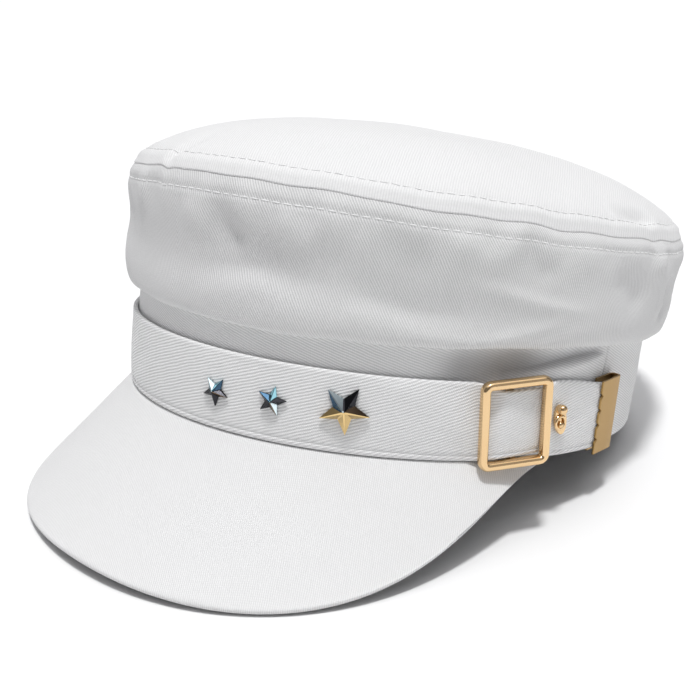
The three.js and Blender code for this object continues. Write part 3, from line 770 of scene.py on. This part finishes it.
def peakGrid():
    steps = np.linspace(-1, 1, peak["columns"])
    angles = peak["end"] * (steps + (np.sin(steps * math.pi / 2) - steps) * peak["crowding"])
    shares = np.concatenate([[0.0, 0.03, 0.07], np.linspace(0.12, 0.9, 22), [0.93, 0.955, 0.975]])
    share, angle = np.meshgrid(shares, angles, indexing="ij")
    top, depth, thick = peakPoint(angle, share, 0.0)
    normal = gridNormals(top, False)
    normal *= np.sign(normal[..., 2:3])
    free = np.clip(share / 0.1, 0, 1)
    top = top + normal * (peak["uneven"] * wander(top, peak["unevenSize"], 31) * free)[..., None]
    # the rim: half a round of the wall's thickness, with a fine seam line round its middle
    rim = []
    for turn in (75, 55, 35, 18, 7, 0, -7, -18, -35, -55, -75):
        a = math.radians(turn)
        reach = np.maximum(depth[0], 0.4)
        drawnIn = thick[0] * 0.5 * (1 - math.cos(a)) + (peak["rimSeam"] if turn == 0 else 0)
        rim.append(peakPoint(angles, 1 - drawnIn / reach, np.full_like(angles, 0.5 - 0.5 * math.sin(a)))[0])
    under = peakPoint(angle[::-3], share[::-3], 1.0)[0]
    rootIn = -band["wall"] + peak["gap"]
    rootHigh = onBand(angles, np.full_like(angles, -peak["gap"]), rootIn)
    rootLow = onBand(angles, np.full_like(angles, -peak["gap"] - peak["rootDeep"]), rootIn)
    return aboveTable(np.concatenate([[rootHigh], top, rim, under, [rootLow]]), peak["clear"])


peakShell = peakGrid()
# the cloth of the peak was cut flat, so its pattern lies in a plane that slopes with the peak
lean = 1 / math.cos(math.radians(peak["slope"]))
peakUv = np.stack([peakShell[..., 0], peakShell[..., 1] * lean], -1)
peakCloth = meshFromGrid("peak_cloth", peakShell, peakUv, twills["peak"], loop=False)
finishPiece(peakCloth, "peak_twill", "peak")
print("peak:", len(peakCloth.data.polygons), "faces")


def bandPlace(angle, z, out, turn=0.0, swing=0.0):
    # a matrix that sets a metal piece on the band: x along the strap, y up it, z out of it. It is turned
    # on the strap first, and then swung about its own upright.
    step = 0.5
    at = lambda a, h: onBand(np.array(a, float), np.array(h, float), out)
    along = at(angle + step, z) - at(angle - step, z)
    up = at(angle, z + step) - at(angle, z - step)
    along /= np.linalg.norm(along)
    outward = np.cross(along, up)
    outward /= np.linalg.norm(outward)
    up = np.cross(outward, along)
    c, s = math.cos(math.radians(turn)), math.sin(math.radians(turn))
    right, up = along * c + up * s, up * c - along * s
    c, s = math.cos(math.radians(swing)), math.sin(math.radians(swing))
    axes = np.stack([right * c - outward * s, up, outward * c + right * s], 1)
    return axes, at(angle, z)


def setOnBand(points, angle, z, out, turn=0.0, swing=0.0):
    axes, place = bandPlace(angle, z, out, turn, swing)
    return np.asarray(points, float) @ axes.T + place


def metalPiece(name, points, faces, finish, smooth=35.0, platingAndReflection=None):
    # a colour for each face, or nothing for plain white; on the stars these colours are partly plating and
    # partly painted reflection
    mesh = bpy.data.meshes.new(name)
    mesh.from_pydata(list(map(tuple, toFrame(points))), [], faces)
    mesh.materials.append(finish)
    mesh.polygons.foreach_set("use_smooth", np.ones(len(faces), bool))
    mesh.update()
    mesh.set_sharp_from_angle(angle=math.radians(smooth))
    colours = np.ones((len(faces), 4))
    if platingAndReflection is not None:
        colours[:, :3] = platingAndReflection
    layer = mesh.color_attributes.new("platingAndReflection", "FLOAT_COLOR", "CORNER")
    layer.data.foreach_set("color", np.repeat(colours, [len(face) for face in faces], 0).ravel())
    obj = bpy.data.objects.new(name, mesh)
    bpy.context.scene.collection.objects.link(obj)
    turnOutwards(obj)
    return obj


def joined(parts):
    points, faces, start = [], [], 0
    for somePoints, someFaces in parts:
        points.append(np.asarray(somePoints, float))
        faces += [[start + i for i in face] for face in someFaces]
        start += len(somePoints)
    return np.concatenate(points), faces


def tubeRound(sections, closed):
    # skins sections (each a ring of points) that follow one another along a line
    count, size = len(sections), len(sections[0])
    points = np.concatenate(sections)
    faces = []
    for i in range(count if closed else count - 1):
        j = (i + 1) % count
        for k in range(size):
            m = (k + 1) % size
            faces.append([i * size + k, j * size + k, j * size + m, i * size + m])
    if not closed:
        faces.append(list(range(size))[::-1])
        faces.append([(count - 1) * size + k for k in range(size)])
    return points, faces


buckle = {
    "angle": 68.9, "z": 14.0, "out": 4.4, "turn": 8.3, "swing": -7.0, "width": 24.6, "height": 29.8,
    "bar": 3.0, "deep": 3.8, "corner": 3.4, "section": 32, "fullness": 0.85,
    "hiddenWide": 2.4, "hiddenDeep": 1.4, "beyond": 0.8, "stubHigh": 1.4,   # the bar that the strap runs over
}


def roundedPath(width, height, corner, perCorner=10, perSide=24):
    # points and outward ways round a rectangle with round corners
    x, y = width / 2 - corner, height / 2 - corner
    places, ways = [], []
    for cx, cy, start in ((x, y, 0), (-x, y, 90), (-x, -y, 180), (x, -y, 270)):
        for k in range(perCorner + 1):
            a = math.radians(start + 90 * k / perCorner)
            places.append((cx + corner * math.cos(a), cy + corner * math.sin(a)))
            ways.append((math.cos(a), math.sin(a)))
        a = math.radians(start + 90)
        after = {0: (-x, y), 90: (-x, -y), 180: (x, -y), 270: (x, y)}[start]
        end = (after[0] + corner * math.cos(a), after[1] + corner * math.sin(a))
        begin = places[-1]
        for k in range(1, perSide):
            f = k / perSide
            places.append((begin[0] + (end[0] - begin[0]) * f, begin[1] + (end[1] - begin[1]) * f))
            ways.append((math.cos(a), math.sin(a)))
    return np.array(places), np.array(ways)


def softBox(low, high, rounding=0.3):
    # a small bar with rounded long edges, along y
    (x0, y0, z0), (x1, y1, z1) = low, high
    cx, cz, hx, hz = (x0 + x1) / 2, (z0 + z1) / 2, (x1 - x0) / 2, (z1 - z0) / 2
    ring = []
    for sx, sz, start in ((1, 1, 0), (-1, 1, 90), (-1, -1, 180), (1, -1, 270)):
        for k in range(4):
            a = math.radians(start + 30 * k)
            x = cx + sx * (hx - rounding) + rounding * math.cos(a)
            ring.append((x, cz + sz * (hz - rounding) + rounding * math.sin(a)))
    sections = [np.array([(x, y, z) for x, z in ring]) for y in (y0, y1)]
    return tubeRound(sections, False)


def buckleShape():
    # a rounded bar swept round the frame: flat back, high rounded front, softly flattened top
    bar, deep = buckle["bar"], buckle["deep"]
    mid, ways = roundedPath(buckle["width"] - bar, buckle["height"] - bar, buckle["corner"] - bar / 2)
    section = []
    power = buckle["fullness"]
    for k in range(buckle["section"]):
        a = 2 * math.pi * k / buckle["section"]
        c, s = math.cos(a), math.sin(a)
        out = math.copysign(abs(c) ** power, c) * bar / 2
        section.append((out, deep / 2 + math.copysign(abs(s) ** power, s) * deep / 2))
    sections = []
    for p, w in zip(mid, ways):
        sections.append(np.array([(p[0] + w[0] * o, p[1] + w[1] * o, h) for o, h in section]))
    back = 2 * strap["gap"] - buckle["out"]
    half = buckle["hiddenWide"] / 2
    start = buckle["height"] / 2 - bar
    reach = start + buckle["beyond"]
    parts = [tubeRound(sections, True)]
    parts.append(softBox((-half, -reach, back), (half, reach, back + buckle["hiddenDeep"])))
    for low, high in ((start, reach), (-reach, -start)):
        parts.append(softBox((-half, low, back), (half, high, buckle["stubHigh"])))
    return joined(parts)


bucklePoints, buckleFaces = buckleShape()
bucklePiece = metalPiece(
    "buckle_frame",
    setOnBand(bucklePoints, buckle["angle"], buckle["z"], buckle["out"], buckle["turn"], buckle["swing"]),
    buckleFaces, metals["buckle"])
finishPiece(bucklePiece, "gold_metal", "buckle")

strapFace = strap["gap"] + strap["wall"] + strap["crown"]
smallStar, largeStar = {"radius": 4.9, "high": 2.2}, {"radius": 8.1, "high": 3.4}
# the stars' colours: one letter for each facet, against the clock from the first arm's left side. They are
# partly the stars' own plating and partly painted reflection: each facet has the colour it mirrored, so the
# cyan and white facets are painted highlights.
starLook = [
    {"name": "star_small_1", **smallStar, "angle": 11.6, "z": 12.6, "turn": 184.0, "facets": "kbkncwckkk"},
    {"name": "star_small_2", **smallStar, "angle": 24.0, "z": 13.6, "turn": -10.0, "facets": "cnkkkbwkkc"},
    {"name": "star_large", **largeStar, "angle": 37.7, "z": 14.4, "turn": 188.0, "facets": "ggbkkwnggg"},
]
# facet colours, partly plating and partly painted reflection: c and w are painted highlights
facetPlatingAndReflection = {
    "k": (0.035, 0.035, 0.04), "n": (0.05, 0.10, 0.16), "c": (0.35, 0.66, 0.76), "w": (0.80, 0.93, 0.97),
    "b": (0.16, 0.11, 0.07), "g": (0.80, 0.58, 0.27),
}


def starShape(radius, high, facets, rim=0.5, waist=0.44, soft=0.035):
    # five ridged arms on a low upright rim; each ridge is a narrow flat so that it catches the light
    ring = []
    for corner in range(10):
        a = math.pi / 2 + corner * math.pi / 5
        r = radius * waist if corner % 2 else radius
        ring.append(np.array([r * math.cos(a), r * math.sin(a)]))
    points, faces = [], []
    for level in (0.0, rim):
        points += [(*p, level) for p in ring]
    for c in range(10):
        d = (c + 1) % 10
        faces.append([c, d, 10 + d, 10 + c])
    # each corner's line to the middle is split in two, a little way apart
    inner = len(points)
    for corner, p in enumerate(ring):
        sideways = np.array([-p[1], p[0]]) / np.linalg.norm(p)
        width = radius * soft
        near = radius * 0.07
        for sign in (-1, 1):
            start = p * (1 - 0.05) + sideways * width * sign * (0.4 if corner % 2 == 0 else 0.8)
            end = p / np.linalg.norm(p) * near + sideways * width * sign
            lift = rim + (high - rim) * 0.05
            topLift = high - (high - rim) * (near / np.linalg.norm(p)) * 0.9
            points.append((*start, lift - 0.02 * (corner % 2)))
            points.append((*end, topLift))
    top = len(points)
    points.append((0, 0, high - 0.04 * high))
    at = lambda corner, sign, end: inner + (corner % 10) * 4 + sign * 2 + end
    letters = list(facets)
    for c in range(10):
        d = c + 1
        ridge = [[10 + c, at(c, 0, 0), at(c, 1, 0)], [at(c, 0, 0), at(c, 0, 1), at(c, 1, 1), at(c, 1, 0)],
                 [at(c, 0, 1), top, at(c, 1, 1)]]
        facet = [[10 + c, at(c, 1, 0), at(d, 0, 0), 10 + d % 10],
                 [at(c, 1, 0), at(c, 1, 1), at(d, 0, 1), at(d, 0, 0)], [at(c, 1, 1), top, at(d, 0, 1)]]
        faces += ridge + facet
        letters += [facets[c - 1]] * 3 + [facets[c]] * 3
    faces.append(list(range(10))[::-1])
    return np.array(points, float), faces, np.array([facetPlatingAndReflection[letter] for letter in letters + ["k"]])


for look in starLook:
    starPoints, starFaces, starPlatingAndReflection = starShape(look["radius"], look["high"], look["facets"])
    placed = setOnBand(starPoints, look["angle"], look["z"], strapFace + strap["gap"], look["turn"])
    star = metalPiece(look["name"] + "_cut", placed, starFaces, metals["dark"], 12.0, starPlatingAndReflection)
    finishPiece(star, "star_metal" if "large" in look["name"] else "dark_metal", look["name"])


stud = {
    "angle": 80.3, "z": 13.3, "turn": 20.0, "clear": 0.5, "width": 5.2, "height": 10.8, "plate": 0.9,
    # each sits over the plate's face; a wire is half its thickness
    "knob": {"place": (0.1, 4.0, 0.7), "radius": 1.75},
    "ring": {"place": (-0.9, -0.4, 0.35), "radius": 2.1, "wire": 0.6},
    "bead": {"place": (-1.1, -1.1, 0.5), "radius": 1.1},
}


def onPlate(item):
    x, y, up = item["place"]
    return x, y, stud["plate"] + up


def ball(centre, radius, around=20, rings=12):
    points, faces = [], []
    for r in range(rings + 1):
        a = math.pi * r / rings
        if r in (0, rings):
            points.append((0, 0, math.cos(a)))
            continue
        for k in range(around):
            b = 2 * math.pi * k / around
            points.append((math.sin(a) * math.cos(b), math.sin(a) * math.sin(b), math.cos(a)))
    row = lambda r, k: 1 + (r - 1) * around + k % around
    last = len(points) - 1
    for k in range(around):
        faces.append([0, row(1, k), row(1, k + 1)])
        for r in range(1, rings - 1):
            faces.append([row(r, k), row(r + 1, k), row(r + 1, k + 1), row(r, k + 1)])
        faces.append([last, row(rings - 1, k + 1), row(rings - 1, k)])
    return np.array(points) * radius + centre, faces


def ringShape(centre, radius, wire, around=28, section=12):
    sections = []
    for k in range(around):
        a = 2 * math.pi * k / around
        c, s = math.cos(a), math.sin(a)
        loop = []
        for m in range(section):
            b = 2 * math.pi * m / section
            r = radius + wire * math.cos(b)
            loop.append((centre[0] + r * c, centre[1] + r * s, centre[2] + wire * math.sin(b)))
        sections.append(np.array(loop))
    return tubeRound(sections, True)


def plateShape(width, height, thick, edge=0.25, around=40):
    # an oval plate with a rounded rim
    half = width / 2
    rows = [(1.0, 0.0), (1.0, thick - edge)]
    rows += [(1 - edge * 0.3 / half, thick - edge * 0.3), (1 - edge / half, thick)]
    points, faces = [], []
    for scale, level in rows:
        for k in range(around):
            a = 2 * math.pi * k / around
            points.append((half * scale * math.cos(a), height / 2 * scale * math.sin(a), level))
    for r in range(len(rows) - 1):
        for k in range(around):
            m = (k + 1) % around
            faces.append([r * around + k, r * around + m, (r + 1) * around + m, (r + 1) * around + k])
    faces.append(list(range(around))[::-1])
    faces.append([(len(rows) - 1) * around + k for k in range(around)])
    return np.array(points), faces


studPoints, studFaces = joined([
    plateShape(stud["width"], stud["height"], stud["plate"]),
    ball(onPlate(stud["knob"]), stud["knob"]["radius"]),
    ringShape(onPlate(stud["ring"]), stud["ring"]["radius"], stud["ring"]["wire"]),
    ball(onPlate(stud["bead"]), stud["bead"]["radius"], 16, 10),
])
studPiece = metalPiece(
    "strap_stud_knob",
    setOnBand(studPoints, stud["angle"], stud["z"], strapFace + strap["gap"] + stud["clear"], stud["turn"]),
    studFaces, metals["buckle"])
finishPiece(studPiece, "gold_metal", "strap_stud")


clip = {
    "angle": 94.6, "z": 12.5, "turn": 5.5, "width": 12.8, "height": 26.0, "deep": 4.1, "sheet": 0.7,
    "backShorter": 1.5, "teeth": 4, "notch": 1.0,
}


def clipShape():
    # the folded sheet in plan, as an outer and an inner line; the front leaf's edge carries the teeth
    half, deep, sheet = clip["width"] / 2, clip["deep"], clip["sheet"]
    radius = deep / 2
    pitch = clip["height"] / (clip["teeth"] + 1)
    rowsUp = np.linspace(-0.5, 0.5, 101) * clip["height"]

    def edgeAt(y):
        # how far the toothed edge draws back at a height
        count = y / pitch + 0.5 * (clip["teeth"] + 1)
        near = np.abs(count - np.round(count)) * pitch
        whole = abs(y) > clip["height"] / 2 - pitch * 0.5
        return 0.0 if whole else max(0.0, clip["notch"] - near)

    turns = np.radians(np.linspace(-90, 90, 13))
    sections = []
    for y in rowsUp:
        notch = edgeAt(y)
        outer = [(-half + clip["backShorter"], 0.0), (0.0, 0.0)]
        outer += [(half - radius + radius * math.cos(t), radius + radius * math.sin(t)) for t in turns]
        outer += [(0.0, deep), (-half + notch + 0.25, deep), (-half + notch, deep - 0.2)]
        inner = [(-half + notch, deep - sheet), (0.0, deep - sheet)]
        bend = radius - sheet
        inner += [(half - radius + bend * math.cos(t), radius + bend * math.sin(t)) for t in turns[::-1]]
        inner += [(0.0, sheet), (-half + clip["backShorter"], sheet)]
        sections.append(np.array([(x, y, z) for x, z in outer + inner]))
    return tubeRound(sections, False)


clipPoints, clipFaces = clipShape()
clipPiece = metalPiece(
    "end_clip_crimp", setOnBand(clipPoints, clip["angle"], clip["z"], strap["gap"], clip["turn"]),
    clipFaces, metals["clip"])
finishPiece(clipPiece, "clip_metal", "end_clip")
print("metal pieces set on the strap")


# stitches: one thread shape along each line, made by Geometry Nodes
stitch = {"pitch": 3.4, "length": 2.7, "thick": 0.5, "high": 0.34, "sway": 0.05, "seed": 3, "lift": 0.12}


def stitchTree():
    tree = bpy.data.node_groups.new("stitchLine", "GeometryNodeTree")
    face = tree.interface
    face.new_socket("Geometry", in_out="INPUT", socket_type="NodeSocketGeometry")
    inputs = {}
    kinds = {"Pitch": "Float", "Length": "Float", "Thick": "Float", "High": "Float", "Sway": "Float",
             "Seed": "Int", "Thread": "Material"}
    for label, kind in kinds.items():
        inputs[label] = face.new_socket(label, in_out="INPUT", socket_type="NodeSocket" + kind).identifier
    face.new_socket("Geometry", in_out="OUTPUT", socket_type="NodeSocketGeometry")
    node = lambda kind: tree.nodes.new(kind)
    link = tree.links.new
    group, out = node("NodeGroupInput"), node("NodeGroupOutput")
    curve, resample = node("GeometryNodeMeshToCurve"), node("GeometryNodeResampleCurve")
    link(group.outputs["Geometry"], curve.inputs["Mesh"])
    resample.mode = "LENGTH"
    link(curve.outputs["Curve"], resample.inputs["Curve"])
    link(group.outputs["Pitch"], resample.inputs["Length"])
    outward = node("GeometryNodeInputNamedAttribute")
    outward.data_type = "FLOAT_VECTOR"
    outward.inputs["Name"].default_value = "outward"
    tangent = node("GeometryNodeInputTangent")
    toOut, toLine = node("FunctionNodeAlignRotationToVector"), node("FunctionNodeAlignRotationToVector")
    toOut.axis, toLine.axis, toLine.pivot_axis = "Z", "X", "Z"
    link(outward.outputs["Attribute"], toOut.inputs["Vector"])
    link(toOut.outputs["Rotation"], toLine.inputs["Rotation"])
    link(tangent.outputs["Tangent"], toLine.inputs["Vector"])
    shape = node("GeometryNodeMeshUVSphere")
    shape.inputs["Segments"].default_value = 6
    shape.inputs["Rings"].default_value = 6
    shape.inputs["Radius"].default_value = 0.5
    # the sphere's poles point along the stitch
    turnShape = node("GeometryNodeTransform")
    turnShape.inputs["Rotation"].default_value = (0.0, math.pi / 2, 0.0)
    link(shape.outputs["Mesh"], turnShape.inputs["Geometry"])
    size = node("ShaderNodeCombineXYZ")
    for axis, label in (("X", "Length"), ("Y", "Thick"), ("Z", "High")):
        link(group.outputs[label], size.inputs[axis])
    sway = node("FunctionNodeRandomValue")
    sway.data_type = "FLOAT_VECTOR"
    spreadLow, spreadHigh = node("ShaderNodeMath"), node("ShaderNodeMath")
    for item, operation in ((spreadLow, "SUBTRACT"), (spreadHigh, "ADD")):
        item.operation = operation
        item.inputs[0].default_value = 1.0
        link(group.outputs["Sway"], item.inputs[1])
    link(spreadLow.outputs[0], sway.inputs[0])
    link(spreadHigh.outputs[0], sway.inputs[1])
    link(group.outputs["Seed"], sway.inputs["Seed"])
    grown = node("ShaderNodeVectorMath")
    grown.operation = "MULTIPLY"
    link(size.outputs["Vector"], grown.inputs[0])
    link(sway.outputs[0], grown.inputs[1])
    place, real = node("GeometryNodeInstanceOnPoints"), node("GeometryNodeRealizeInstances")
    paint = node("GeometryNodeSetMaterial")
    link(resample.outputs["Curve"], place.inputs["Points"])
    link(turnShape.outputs["Geometry"], place.inputs["Instance"])
    link(toLine.outputs["Rotation"], place.inputs["Rotation"])
    link(grown.outputs["Vector"], place.inputs["Scale"])
    link(place.outputs["Instances"], real.inputs["Geometry"])
    link(real.outputs["Geometry"], paint.inputs["Geometry"])
    link(group.outputs["Thread"], paint.inputs["Material"])
    link(paint.outputs["Geometry"], out.inputs["Geometry"])
    return tree, inputs


stitches, stitchInputs = stitchTree()


def sewLine(name, points, outward, slot, **changes):
    # points run round the seam in the level cap, mm; outward is the cloth's way out at each
    size = {**stitch, **changes}
    placed = toFrame(points)
    c, s = math.cos(math.radians(lay["tilt"])), math.sin(math.radians(lay["tilt"]))
    x, y, z = outward.T
    turned = np.stack([x, y * c + z * s, z * c - y * s], -1)
    edges = [(k, (k + 1) % len(placed)) for k in range(len(placed))]
    mesh = bpy.data.meshes.new(name + "_line")
    mesh.from_pydata(list(map(tuple, placed)), edges, [])
    attribute = mesh.attributes.new("outward", "FLOAT_VECTOR", "POINT")
    attribute.data.foreach_set("vector", turned.ravel())
    line = bpy.data.objects.new(name + "_line", mesh)
    bpy.context.scene.collection.objects.link(line)
    modifier = line.modifiers.new("stitches", "NODES")
    modifier.node_group = stitches
    for label, key, scale in (("Pitch", "pitch", mm), ("Length", "length", mm), ("Thick", "thick", mm),
                              ("High", "high", mm), ("Sway", "sway", 1), ("Seed", "seed", 1)):
        value = size[key] * scale
        modifier[stitchInputs[label]] = int(value) if key == "seed" else float(value)
    modifier[stitchInputs["Thread"]] = thread
    evaluated = line.evaluated_get(bpy.context.evaluated_depsgraph_get())
    sewn = bpy.data.meshes.new_from_object(evaluated)
    sewn.name = name
    bpy.data.objects.remove(line)
    bpy.data.meshes.remove(mesh)
    sewn.polygons.foreach_set("use_smooth", np.ones(len(sewn.polygons), bool))
    if len(sewn.materials) == 0:
        sewn.materials.append(thread)
    obj = bpy.data.objects.new(name, sewn)
    bpy.context.scene.collection.objects.link(obj)
    turnOutwards(obj)
    finishPiece(obj, slot)
    return obj


def alongRow(grid, row):
    flow = gridNormals(grid, True)[row]
    if np.einsum("ij,ij->i", flow, grid[row] - np.array([0, 0, 30.0])).mean() < 0:
        flow = -flow
    return grid[row] + flow * stitch["lift"], flow


sideRow = int(np.argmin(np.abs(sideUp[:, 0] - side["stitchUp"])))
sewLine("side_stitches", *alongRow(sideOuter, sideRow), "crown_twill")
tipRow = int(np.argmin(np.abs(np.array(tip["shares"]) - tip["stitchShare"])))
sewLine("top_stitches", *alongRow(tipOuter[:topRows], tipRow), "crown_twill", thick=0.42)
print("stitches sewn")


def wayTo(look):
    a, e = math.radians(look["azimuth"]), math.radians(look["elevation"])
    return Vector((math.sin(a) * math.cos(e), -math.cos(a) * math.cos(e), math.sin(e)))


# the camera stands where the photograph was taken from
view = {
    "azimuth": 45.409, "elevation": 20.262, "distance": 438.811, "target": (-5.325, -6.82, 36.82),
    "lens": 59.944, "roll": -1.176,
}
cameraData = bpy.data.cameras.new("camera")
cameraData.sensor_width = 36.0
cameraData.lens = view["lens"]
camera = bpy.data.objects.new("camera", cameraData)
bpy.context.scene.collection.objects.link(camera)
back = wayTo(view)
camera.location = (Vector(view["target"]) + back * view["distance"]) * mm
camera.rotation_mode = "QUATERNION"
roll = Matrix.Rotation(math.radians(view["roll"]), 3, "Z").to_quaternion()
camera.rotation_quaternion = (-back).to_track_quat("-Z", "Y") @ roll
cameraData.clip_start, cameraData.clip_end = 0.01, 20.0
bpy.context.scene.camera = camera


# studio: a pale floor, a small key high over the camera's side, a broad weak fill from the wearer's left,
# and a dim room with a pale ceiling
studio = {
    "floor": (0.86, 0.86, 0.86), "floorHalf": 6, "floorDrop": 0.0002,   # metres
    "walls": (0.19, 0.19, 0.20), "ceiling": (1.6, 1.6, 1.62), "ceilingStart": 0.66,
    "key": {"azimuth": 46.0, "elevation": 78.0, "wide": 7.0, "power": 2.05},
    "fill": {"azimuth": 100.0, "elevation": 12.0, "wide": 60.0, "power": 0.17},
}
floorMesh = bpy.data.meshes.new("floor")
half = studio["floorHalf"]
corners = [(-half, -half, 0), (half, -half, 0), (half, half, 0), (-half, half, 0)]
floorMesh.from_pydata(corners, [], [(0, 1, 2, 3)])
floorPaint, _, floorShader = newFinish("palePaper")
floorShader.inputs["Base Color"].default_value = (*studio["floor"], 1.0)
floorShader.inputs["Roughness"].default_value = 0.9
floorMesh.materials.append(floorPaint)
floor = bpy.data.objects.new("floor", floorMesh)
bpy.context.scene.collection.objects.link(floor)
floor.location.z = -studio["floorDrop"]

for name in ("key", "fill"):
    look = studio[name]
    lamp = bpy.data.lights.new(name, "SUN")
    lamp.angle = math.radians(look["wide"])
    lamp.energy = look["power"]
    light = bpy.data.objects.new(name, lamp)
    bpy.context.scene.collection.objects.link(light)
    way = wayTo(look)
    light.location = way
    light.rotation_mode = "QUATERNION"
    light.rotation_quaternion = (-way).to_track_quat("-Z", "Y")

world = bpy.data.worlds.new("room")
world.use_nodes = True
roomTree = world.node_tree
direction = roomTree.nodes.new("ShaderNodeTexCoord")
split = roomTree.nodes.new("ShaderNodeSeparateXYZ")
roomTree.links.new(direction.outputs["Generated"], split.inputs[0])
rise = roomTree.nodes.new("ShaderNodeMapRange")
rise.interpolation_type = "SMOOTHSTEP"
rise.inputs["From Min"].default_value = studio["ceilingStart"]
roomTree.links.new(split.outputs["Z"], rise.inputs["Value"])
shade = mixColours(roomTree, rise.outputs["Result"], studio["walls"], studio["ceiling"])
roomTree.links.new(shade, roomTree.nodes["Background"].inputs["Color"])
bpy.context.scene.world = world
bpy.context.scene.view_settings.view_transform = "Standard"
print("studio set")
